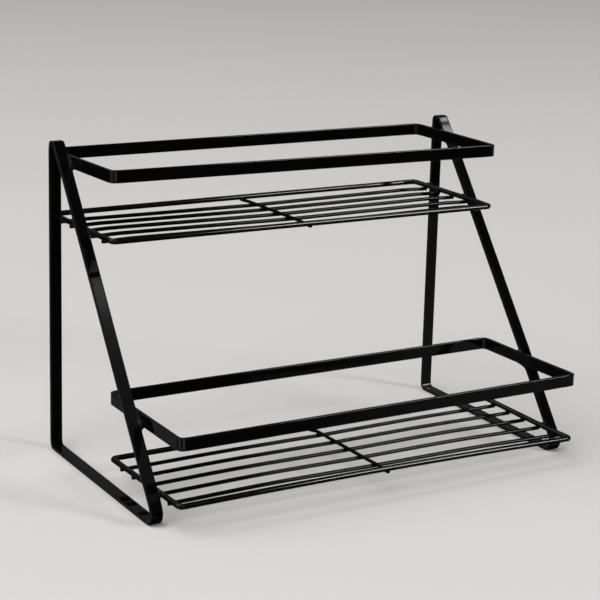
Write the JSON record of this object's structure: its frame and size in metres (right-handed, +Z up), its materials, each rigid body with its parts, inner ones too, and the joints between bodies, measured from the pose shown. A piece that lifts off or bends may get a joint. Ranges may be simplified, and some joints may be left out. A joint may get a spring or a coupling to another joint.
{
  "type": "countertop shelf",
  "caption": "Free-standing black metal countertop rack: stepped wire-floored shelves with flat guard rails, welded between triangular flat-bar side frames.",
  "frame": {"origin": "middle of the footprint, on the table under the runners", "axes": "+X along the shelves to the right, +Y towards the back (the upper shelf), +Z up"},
  "size_m": [0.3972, 0.2558, 0.27],
  "materials": {
    "black_powder_coat": "semi-gloss black powder coat, slightly textured"
  },
  "bodies": {
    "root": {"left_side_frame": "black_powder_coat", "right_side_frame": "black_powder_coat", "upper_guard_rail": "black_powder_coat", "lower_guard_rail": "black_powder_coat", "upper_shelf_rim": "black_powder_coat", "lower_shelf_rim": "black_powder_coat", "upper_deck_wire_1": "black_powder_coat", "upper_deck_wire_2": "black_powder_coat", "upper_deck_wire_3": "black_powder_coat", "upper_deck_wire_4": "black_powder_coat", "upper_deck_wire_5": "black_powder_coat", "lower_deck_wire_1": "black_powder_coat", "lower_deck_wire_2": "black_powder_coat", "lower_deck_wire_3": "black_powder_coat", "lower_deck_wire_4": "black_powder_coat", "lower_deck_wire_5": "black_powder_coat", "upper_cross_wire": "black_powder_coat", "lower_cross_wire": "black_powder_coat"}
  },
  "joints": []
}
